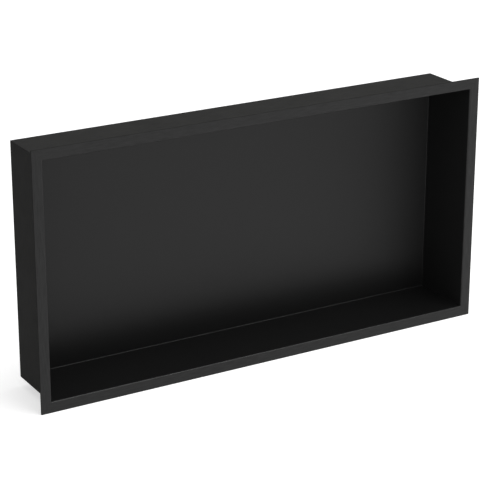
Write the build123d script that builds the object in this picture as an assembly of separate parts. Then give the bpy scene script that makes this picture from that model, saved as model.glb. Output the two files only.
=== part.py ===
"""Recessed shower niche, folded from one sheet of stainless steel and coated satin black.

The back panel carries four walls, bent forward from it. Each wall ends in a flange, bent outward
to lie on the face of the tiled wall. The corners are mitred, welded along their whole length and
ground smooth, so the finished niche is one piece.

Millimetres. The origin is the centre of the opening, on the flange's rear face, which seats on the
tiled wall. +X runs along the opening, +Y goes into the wall and +Z is up.
"""

import os

from build123d import *

# Driving dimensions
OPENING_WIDTH = 600.0  # clear width between the side walls
OPENING_HEIGHT = 300.0  # clear height between the floor and the roof
OVERALL_DEPTH = 90.0  # front of the flange to the outside of the back panel
FLANGE_WIDTH = 14.0  # face of a wall to the flange's cut edge
SHEET = 1.2  # thickness of the sheet
BACK_BEND_RADIUS = 0.8  # inside radius of the bends round the back panel
FLANGE_BEND_RADIUS = 0.5  # inside radius of the flange's bend, on its rear side
TIP_RADIUS = 0.8  # ground tips of the flange
EDGE_RADIUS = 0.3  # deburred front edge of the flange

# Depths along +Y that follow from them
FLANGE_FRONT = -SHEET
BACK_OUTSIDE = FLANGE_FRONT + OVERALL_DEPTH
BACK_INSIDE = BACK_OUTSIDE - SHEET

# Faces of the right-hand wall and of the roof, and where the flat back panel starts behind them
RIGHT_WALL = OPENING_WIDTH / 2
ROOF = OPENING_HEIGHT / 2
PANEL_INSET = 2 * BACK_BEND_RADIUS


def sheet_section(wall):
    """The folded sheet cut across a wall whose inner face is at x = wall."""
    flange_edge = (wall + FLANGE_WIDTH, FLANGE_FRONT)
    front_corner = (wall, FLANGE_FRONT)
    back_corner = (wall, BACK_INSIDE)
    panel_edge = (wall - PANEL_INSET, BACK_INSIDE)
    bend_radii = [FLANGE_BEND_RADIUS + SHEET, BACK_BEND_RADIUS]
    with BuildSketch() as section:
        with BuildLine():
            FilletPolyline(flange_edge, front_corner, back_corner, panel_edge, radius=bend_radii)
            offset(amount=SHEET, side=Side.RIGHT)
        make_face()
    return section.sketch


def mitred_wall(wall, corner):
    """One wall with its flange and back bend, mitred where it meets its neighbours, at z = +/- corner."""
    folded = extrude(sheet_section(wall), amount=corner + FLANGE_WIDTH, both=True)
    upper_mitre = Plane(origin=(wall, 0, corner), z_dir=(1, 0, -1))
    lower_mitre = Plane(origin=(wall, 0, -corner), z_dir=(1, 0, 1))
    return folded.split(upper_mitre).split(lower_mitre)


def back_panel():
    """The flat of the back panel, between the bends."""
    width = OPENING_WIDTH - 2 * PANEL_INSET
    height = OPENING_HEIGHT - 2 * PANEL_INSET
    outline = Plane.XZ.offset(-BACK_OUTSIDE) * Rectangle(width, height)
    return extrude(outline, amount=SHEET)


def welded_box():
    """Four walls joined to the back panel and to each other along the mitres."""
    side = mitred_wall(RIGHT_WALL, ROOF)
    roof = Rotation(0, -90, 0) * mitred_wall(ROOF, RIGHT_WALL)
    return side + roof + mirror(side, about=Plane.YZ) + mirror(roof, about=Plane.XY) + back_panel()


def dressed_flange(box):
    """The box with the flange's four tips ground round and its front edge deburred."""
    flange_middle = RIGHT_WALL + FLANGE_WIDTH / 2
    tips = box.edges().filter_by(Axis.Y).filter_by(lambda edge: abs(edge.center().X) > flange_middle)
    box = fillet(tips, TIP_RADIUS)
    flange_face = box.faces().sort_by(Axis.Y).first
    return fillet(flange_face.outer_wire().edges(), EDGE_RADIUS)


niche_body = dressed_flange(welded_box())
niche_body.label = "niche_body"

os.makedirs("parts", exist_ok=True)
export_step(niche_body, "parts/niche_body.step")
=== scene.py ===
"""Recessed shower niche, folded from one steel sheet and coated satin black."""

import math

import bmesh
import bpy
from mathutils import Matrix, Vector


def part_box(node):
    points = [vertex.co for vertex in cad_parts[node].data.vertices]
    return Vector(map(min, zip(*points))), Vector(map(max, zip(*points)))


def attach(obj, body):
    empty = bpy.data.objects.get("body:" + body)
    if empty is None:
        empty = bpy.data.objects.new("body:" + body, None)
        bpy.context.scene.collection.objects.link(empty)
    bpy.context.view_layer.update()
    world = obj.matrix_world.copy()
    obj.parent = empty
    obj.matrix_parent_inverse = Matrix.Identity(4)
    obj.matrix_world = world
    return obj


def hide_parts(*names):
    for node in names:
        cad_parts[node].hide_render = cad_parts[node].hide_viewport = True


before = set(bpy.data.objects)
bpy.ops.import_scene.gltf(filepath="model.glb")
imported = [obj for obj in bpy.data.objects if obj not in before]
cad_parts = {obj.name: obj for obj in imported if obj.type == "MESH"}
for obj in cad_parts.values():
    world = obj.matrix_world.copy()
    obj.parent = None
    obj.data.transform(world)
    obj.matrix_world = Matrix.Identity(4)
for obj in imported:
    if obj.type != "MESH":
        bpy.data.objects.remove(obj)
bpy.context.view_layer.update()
NICHE_LOW, NICHE_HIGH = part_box("niche_body")

# The folded sheet, in metres
SHEET = 0.0012
FLANGE_WIDTH = 0.0140
BACK_BEND_RADIUS = 0.0008
FLANGE_BEND_RADIUS = 0.0005
FRONT_EDGE_RADIUS = 0.0003
REAR_EDGE_RADIUS = 0.0001
CORNER_RADIUS = 0.0008

# Half the opening, and the depths of the flange and the back panel
HALF_WIDTH = NICHE_HIGH.x - FLANGE_WIDTH
HALF_HEIGHT = NICHE_HIGH.z - FLANGE_WIDTH
FLANGE_FRONT = NICHE_LOW.y
FLANGE_REAR = FLANGE_FRONT + SHEET
BACK_OUTSIDE = NICHE_HIGH.y
BACK_INSIDE = BACK_OUTSIDE - SHEET

# How finely the mesh is cut, and how much a large face counts where faces meet smoothly
BEND_STEPS = 8
EDGE_STEPS = 3
CORNER_STEPS = 4
SIDE_STEP = 0.025
SIDE_PARTS = round(2 * HALF_WIDTH / SIDE_STEP), round(2 * HALF_HEIGHT / SIDE_STEP)
LARGE_FACE_WEIGHT = 100

# The finishes, in the order of the mesh's materials: the inside's long panels, its two ends, the
# flange's face and what goes into the wall
INSIDE, ENDS, FLANGE, OUTSIDE = range(4)

# Grey of the coats, how rough they are and how strongly they mirror
SATIN_GREY, SATIN_ROUGHNESS, SATIN_MIRROR = 0.0054, 0.45, 0.315
ENDS_ROUGHNESS = 0.55
FLANGE_GREY, FLANGE_MIRROR = 0.012, 0.27
MATT_GREY, MATT_ROUGHNESS, MATT_MIRROR = 0.0072, 0.80, 0.095

# The share of blue in the matt grey, which makes it a little warm
MATT_BLUE = 0.94

# How far a gloss is stretched along the brushing: on the inside's long panels, and elsewhere not at all
SATIN_STRETCH, NO_STRETCH = 0.75, 0.0

# How strongly each coat shows the streaks and the clouds
SATIN_STREAKS, SATIN_CLOUDS = 0.0, 0.02
FLANGE_STREAKS, FLANGE_CLOUDS = 0.40, 0.05
MATT_STREAKS, MATT_CLOUDS = 0.14, 0.06

# The coats' texture: features per metre along and across the brushing, in the clouds and in the grain,
# with the finer noise laid over each of them
STREAKS_ALONG, STREAKS_ACROSS, STREAK_DETAIL = 60.0, 560.0, 2.0
CLOUDS_PER_METRE, CLOUD_DETAIL = 26.0, 3.0
GRAIN_PER_METRE, GRAIN_DETAIL = 1300.0, 2.0

# What brings a noise between nought and one to about one each way of zero
NOISE_SPREAD = 5.0

# Height of the grain in metres, and how much smoother a lighter streak is
GRAIN_HEIGHT = 0.00002
POLISHED_SHARE = 0.3

# Grey of the room and of the floor, half the floor's width in metres and how rough it is
ROOM_GREY = 0.30
FLOOR_GREY = 0.60
FLOOR_HALF = 12.0
FLOOR_ROUGHNESS = 0.9

# How much the floor glows to the eye near the niche and far from it, and the metres between which it changes
FLOOR_GLOW = 0.60
FAR_FLOOR_GLOW = 0.85
FLOOR_FADE = (1.0, 3.5)

# The lamps: watts, place, what they point at and size in metres
KEY_POWER = 95.0
KEY_PLACE = (0.6, -0.9, 2.9)
KEY_TARGET = (0.0, 0.0, 0.0)
KEY_SIZE = (2.4, 2.4)
OVERHEAD_POWER = 35.0
OVERHEAD_PLACE = (0.4, 1.2, 3.0)
OVERHEAD_TARGET = (0.4, 1.2, 0.0)
OVERHEAD_SIZE = (4.0, 4.0)

# The camera: place in metres, degrees to the right and downward that it looks, lens and sensor in
# millimetres, and how far it sees in metres
CAMERA_PLACE = (-1.11562, -1.84500, 0.78750)
CAMERA_TURN, CAMERA_TILT = 30.22, 20.085
CAMERA_LENS, CAMERA_SENSOR = 139.37, 36.0
CAMERA_REACH = 100.0


def arc(centre, radius, start, end, steps):
    """Points of an arc in the sheet's section, as (out, depth), from one angle to another in degrees."""
    angles = [math.radians(start + (end - start) * i / steps) for i in range(steps + 1)]
    return [(centre[0] + radius * math.cos(a), centre[1] + radius * math.sin(a)) for a in angles]


def sheet_section():
    """The sheet's skin from the back panel's inner edge, round the flange, to the panel's outer edge.

    Each point is how far it lies outside the opening, its depth along +Y, and the finish of the skin
    from there on.
    """
    back_in, back_out = BACK_BEND_RADIUS, BACK_BEND_RADIUS + SHEET
    front_in, front_out = FLANGE_BEND_RADIUS, FLANGE_BEND_RADIUS + SHEET
    front_edge, rear_edge = FRONT_EDGE_RADIUS, REAR_EDGE_RADIUS
    back_centre = (-back_in, BACK_INSIDE - back_in)
    front_centre = (front_out, FLANGE_FRONT + front_out)
    front_edge_centre = (FLANGE_WIDTH - front_edge, FLANGE_FRONT + front_edge)
    rear_edge_centre = (FLANGE_WIDTH - rear_edge, FLANGE_REAR - rear_edge)
    runs = [
        (INSIDE, arc(back_centre, back_in, 90, 0, BEND_STEPS)),
        (FLANGE, arc(front_centre, front_out, 180, 270, BEND_STEPS)),
        (OUTSIDE, arc(front_edge_centre, front_edge, -90, 0, EDGE_STEPS)),
        (OUTSIDE, arc(rear_edge_centre, rear_edge, 0, 90, EDGE_STEPS)),
        (OUTSIDE, arc(front_centre, front_in, 270, 180, BEND_STEPS)),
        (OUTSIDE, arc(back_centre, back_out, 0, 90, BEND_STEPS)),
    ]
    return [(out, depth, finish) for finish, points in runs for out, depth in points]


def round_the_opening(out, depth):
    """Points of one loop round the niche, a rounded rectangle that lies out from the opening."""
    right, top = HALF_WIDTH + out - CORNER_RADIUS, HALF_HEIGHT + out - CORNER_RADIUS
    points = []
    for quarter, (x, z) in enumerate(((right, top), (-right, top), (-right, -top), (right, -top))):
        for step in range(CORNER_STEPS + 1):
            angle = math.radians(90 * (quarter + step / CORNER_STEPS))
            sideways, upward = CORNER_RADIUS * math.cos(angle), CORNER_RADIUS * math.sin(angle)
            points.append(Vector((x + sideways, depth, z + upward)))
        length, steps = (2 * right, SIDE_PARTS[0]) if quarter % 2 == 0 else (2 * top, SIDE_PARTS[1])
        along = Vector(((-1, 0, 0), (0, 0, -1), (1, 0, 0), (0, 0, 1))[quarter])
        points += [points[-1] + along * length * step / steps for step in range(1, steps)]
    return points


def lay_brushing(mesh):
    """Maps the brushing in metres, first along each strip of the sheet, and gives the ends their finish."""
    brushing = mesh.loops.layers.uv.new("brushing")
    for face in mesh.faces:
        middle = face.calc_center_median()
        upright = len(face.verts) == 4 and abs(middle.x) - HALF_WIDTH > abs(middle.z) - HALF_HEIGHT
        if upright and face.material_index == INSIDE:
            face.material_index = ENDS
        for corner in face.loops:
            x, depth, z = corner.vert.co
            corner[brushing].uv = (z, x + depth) if upright else (x, z + depth)


def folded_niche():
    """The niche as one closed mesh, in place of its CAD node."""
    mesh = bmesh.new()
    section = sheet_section()
    loops = [[mesh.verts.new(p) for p in round_the_opening(out, depth)] for out, depth, _ in section]
    for (_, _, finish), inner, outer in zip(section, loops, loops[1:]):
        for i in range(len(inner)):
            j = (i + 1) % len(inner)
            mesh.faces.new((inner[i], inner[j], outer[j], outer[i])).material_index = finish
    mesh.faces.new(loops[0]).material_index = INSIDE
    mesh.faces.new(reversed(loops[-1])).material_index = OUTSIDE
    bmesh.ops.recalc_face_normals(mesh, faces=mesh.faces)
    lay_brushing(mesh)
    for face in mesh.faces:
        face.smooth = True
    data = bpy.data.meshes.new("niche_shell")
    mesh.to_mesh(data)
    mesh.free()
    shell = bpy.data.objects.new("niche_shell", data)
    bpy.context.collection.objects.link(shell)
    flats = shell.modifiers.new("flat faces stay flat", "WEIGHTED_NORMAL")
    flats.mode = "FACE_AREA"
    flats.weight = LARGE_FACE_WEIGHT
    return shell


def worked_out(tree, operation, *terms):
    """The result of a Math node whose terms are sockets or plain numbers."""
    node = tree.nodes.new("ShaderNodeMath")
    node.operation = operation
    for socket, term in zip(node.inputs, terms):
        if isinstance(term, bpy.types.NodeSocket):
            tree.links.new(term, socket)
        else:
            socket.default_value = term
    return node.outputs["Value"]


def noise(tree, place, scale, detail):
    """A noise that varies about zero, by about one each way."""
    texture = tree.nodes.new("ShaderNodeTexNoise")
    texture.inputs["Scale"].default_value = scale
    texture.inputs["Detail"].default_value = detail
    tree.links.new(place, texture.inputs["Vector"])
    return worked_out(tree, "MULTIPLY_ADD", texture.outputs["Fac"], NOISE_SPREAD, -NOISE_SPREAD / 2)


def coat_grain():
    """Texture of a thin coat over brushed sheet: streaks along the brushing, clouds and a fine grain."""
    group = bpy.data.node_groups.new("coat_grain", "ShaderNodeTree")
    group.interface.new_socket("Grey", in_out="INPUT", socket_type="NodeSocketColor")
    group.interface.new_socket("Roughness", in_out="INPUT", socket_type="NodeSocketFloat")
    group.interface.new_socket("Streaks", in_out="INPUT", socket_type="NodeSocketFloat")
    group.interface.new_socket("Clouds", in_out="INPUT", socket_type="NodeSocketFloat")
    group.interface.new_socket("Grey", in_out="OUTPUT", socket_type="NodeSocketColor")
    group.interface.new_socket("Roughness", in_out="OUTPUT", socket_type="NodeSocketFloat")
    group.interface.new_socket("Height", in_out="OUTPUT", socket_type="NodeSocketFloat")
    given = group.nodes.new("NodeGroupInput").outputs
    result = group.nodes.new("NodeGroupOutput").inputs
    place = group.nodes.new("ShaderNodeTexCoord").outputs["Object"]

    brushing = group.nodes.new("ShaderNodeUVMap")
    brushing.uv_map = "brushing"
    stretched = group.nodes.new("ShaderNodeVectorMath")
    stretched.operation = "MULTIPLY"
    stretched.inputs[1].default_value = (STREAKS_ALONG, STREAKS_ACROSS, 0.0)
    group.links.new(brushing.outputs["UV"], stretched.inputs[0])
    streaks = noise(group, stretched.outputs["Vector"], 1.0, STREAK_DETAIL)
    clouds = noise(group, place, CLOUDS_PER_METRE, CLOUD_DETAIL)
    streaked = worked_out(group, "MULTIPLY", streaks, given["Streaks"])
    shade = worked_out(group, "MULTIPLY_ADD", clouds, given["Clouds"], streaked)
    lighter = group.nodes.new("ShaderNodeVectorMath")
    lighter.operation = "SCALE"
    group.links.new(given["Grey"], lighter.inputs["Vector"])
    group.links.new(worked_out(group, "ADD", shade, 1.0), lighter.inputs["Scale"])
    group.links.new(lighter.outputs["Vector"], result["Grey"])
    smoother = worked_out(group, "MULTIPLY_ADD", shade, -POLISHED_SHARE, 1.0)
    group.links.new(worked_out(group, "MULTIPLY", given["Roughness"], smoother), result["Roughness"])
    group.links.new(noise(group, place, GRAIN_PER_METRE, GRAIN_DETAIL), result["Height"])
    return group


def black_coat(name, grain, grey, roughness, mirror, stretch, streaks, clouds):
    """One of the niche's black finishes."""
    material = bpy.data.materials.new(name)
    material.use_nodes = True
    tree = material.node_tree
    coat = tree.nodes["Principled BSDF"]
    coat.inputs["Specular IOR Level"].default_value = mirror
    coat.inputs["Anisotropic"].default_value = stretch
    tangent = tree.nodes.new("ShaderNodeTangent")
    tangent.direction_type = "UV_MAP"
    tangent.uv_map = "brushing"
    tree.links.new(tangent.outputs["Tangent"], coat.inputs["Tangent"])
    texture = tree.nodes.new("ShaderNodeGroup")
    texture.node_tree = grain
    texture.inputs["Grey"].default_value = (*grey, 1)
    texture.inputs["Roughness"].default_value = roughness
    texture.inputs["Streaks"].default_value = streaks
    texture.inputs["Clouds"].default_value = clouds
    bump = tree.nodes.new("ShaderNodeBump")
    bump.inputs["Distance"].default_value = GRAIN_HEIGHT
    tree.links.new(texture.outputs["Height"], bump.inputs["Height"])
    tree.links.new(texture.outputs["Grey"], coat.inputs["Base Color"])
    tree.links.new(texture.outputs["Roughness"], coat.inputs["Roughness"])
    tree.links.new(bump.outputs["Normal"], coat.inputs["Normal"])
    return material


def satin_black_inside(grain):
    """The long panels of the inside, whose gloss is stretched along the brushing."""
    grey = (SATIN_GREY, SATIN_GREY, SATIN_GREY)
    return black_coat(
        "satin_black_inside",
        grain,
        grey,
        roughness=SATIN_ROUGHNESS,
        mirror=SATIN_MIRROR,
        stretch=SATIN_STRETCH,
        streaks=SATIN_STREAKS,
        clouds=SATIN_CLOUDS,
    )


def satin_black_ends(grain):
    """The two ends of the inside, a little rougher."""
    grey = (SATIN_GREY, SATIN_GREY, SATIN_GREY)
    return black_coat(
        "satin_black_ends",
        grain,
        grey,
        roughness=ENDS_ROUGHNESS,
        mirror=SATIN_MIRROR,
        stretch=NO_STRETCH,
        streaks=SATIN_STREAKS,
        clouds=SATIN_CLOUDS,
    )


def brushed_black_flange(grain):
    """The flange's face, lighter and with the brushing showing through."""
    grey = (FLANGE_GREY, FLANGE_GREY, FLANGE_GREY)
    return black_coat(
        "brushed_black_flange",
        grain,
        grey,
        roughness=SATIN_ROUGHNESS,
        mirror=FLANGE_MIRROR,
        stretch=NO_STRETCH,
        streaks=FLANGE_STREAKS,
        clouds=FLANGE_CLOUDS,
    )


def matt_black_outside(grain):
    """What goes into the wall, matt and a little warm."""
    grey = (MATT_GREY, MATT_GREY, MATT_BLUE * MATT_GREY)
    return black_coat(
        "matt_black_outside",
        grain,
        grey,
        roughness=MATT_ROUGHNESS,
        mirror=MATT_MIRROR,
        stretch=NO_STRETCH,
        streaks=MATT_STREAKS,
        clouds=MATT_CLOUDS,
    )


def black_coats():
    """All the finishes, in the order of the mesh's materials."""
    grain = coat_grain()
    return [
        satin_black_inside(grain),
        satin_black_ends(grain),
        brushed_black_flange(grain),
        matt_black_outside(grain),
    ]


def seen_directly(tree):
    """One for rays from the eye, a reflection or glass, and nought for light that falls on things."""
    rays = tree.nodes.new("ShaderNodeLightPath").outputs
    seen = worked_out(tree, "MAXIMUM", rays["Is Camera Ray"], rays["Is Glossy Ray"])
    return worked_out(tree, "MAXIMUM", seen, rays["Is Transmission Ray"])


def floor_white():
    """A pale matt surface that glows white to the eye, more so further from the niche."""
    white = bpy.data.materials.new("pale_floor")
    white.use_nodes = True
    tree = white.node_tree
    surface = tree.nodes["Principled BSDF"]
    surface.inputs["Base Color"].default_value = (FLOOR_GREY, FLOOR_GREY, FLOOR_GREY, 1)
    surface.inputs["Roughness"].default_value = FLOOR_ROUGHNESS
    surface.inputs["Specular IOR Level"].default_value = 0.0
    surface.inputs["Emission Strength"].default_value = 1.0
    away = tree.nodes.new("ShaderNodeVectorMath")
    away.operation = "LENGTH"
    tree.links.new(tree.nodes.new("ShaderNodeTexCoord").outputs["Object"], away.inputs[0])
    fade = tree.nodes.new("ShaderNodeMapRange")
    fade.interpolation_type = "SMOOTHSTEP"
    fade.inputs["From Min"].default_value, fade.inputs["From Max"].default_value = FLOOR_FADE
    fade.inputs["To Min"].default_value = FLOOR_GLOW
    fade.inputs["To Max"].default_value = FAR_FLOOR_GLOW
    tree.links.new(away.outputs["Value"], fade.inputs["Value"])
    glow = worked_out(tree, "MULTIPLY", seen_directly(tree), fade.outputs["Result"])
    tree.links.new(glow, surface.inputs["Emission Color"])
    return white


def pale_floor():
    """A wide white floor under the flange's lower edge."""
    half, z = FLOOR_HALF, NICHE_LOW.z
    corners = [(-half, -half, z), (half, -half, z), (half, half, z), (-half, half, z)]
    data = bpy.data.meshes.new("floor")
    data.from_pydata(corners, [], [(0, 1, 2, 3)])
    data.materials.append(floor_white())
    floor = bpy.data.objects.new("floor", data)
    bpy.context.collection.objects.link(floor)


def softbox(name, place, target, size, power):
    """A soft light at one place, turned to another."""
    lamp = bpy.data.lights.new(name, "AREA")
    lamp.shape = "RECTANGLE"
    lamp.size, lamp.size_y = size
    lamp.energy = power
    light = bpy.data.objects.new(name, lamp)
    light.location = place
    light.rotation_euler = (Vector(target) - Vector(place)).to_track_quat("-Z", "Y").to_euler()
    bpy.context.collection.objects.link(light)


def studio_light():
    """A grey room that looks white, a large soft light above in front and one above behind."""
    world = bpy.data.worlds.new("studio")
    bpy.context.scene.world = world
    world.use_nodes = True
    tree = world.node_tree
    room = tree.nodes["Background"]
    room.inputs["Color"].default_value = (1.0, 1.0, 1.0, 1)
    strength = worked_out(tree, "MULTIPLY_ADD", seen_directly(tree), 1.0 - ROOM_GREY, ROOM_GREY)
    tree.links.new(strength, room.inputs["Strength"])
    softbox("front_right_softbox", KEY_PLACE, KEY_TARGET, KEY_SIZE, KEY_POWER)
    softbox("overhead_softbox", OVERHEAD_PLACE, OVERHEAD_TARGET, OVERHEAD_SIZE, OVERHEAD_POWER)


def camera_at_the_photograph():
    """The photograph's view: from the left, a little above."""
    turn, tilt = math.radians(CAMERA_TURN), math.radians(CAMERA_TILT)
    level = math.cos(tilt)
    forward = Vector((math.sin(turn) * level, math.cos(turn) * level, -math.sin(tilt)))
    data = bpy.data.cameras.new("camera")
    data.sensor_width = CAMERA_SENSOR
    data.lens = CAMERA_LENS
    data.clip_end = CAMERA_REACH
    camera = bpy.data.objects.new("camera", data)
    camera.location = CAMERA_PLACE
    camera.rotation_euler = forward.to_track_quat("-Z", "Y").to_euler()
    bpy.context.collection.objects.link(camera)
    bpy.context.scene.camera = camera


niche_shell = folded_niche()
for coat in black_coats():
    niche_shell.data.materials.append(coat)
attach(niche_shell, "root")
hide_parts("niche_body")

pale_floor()
studio_light()
camera_at_the_photograph()
bpy.context.scene.view_settings.view_transform = "Standard"
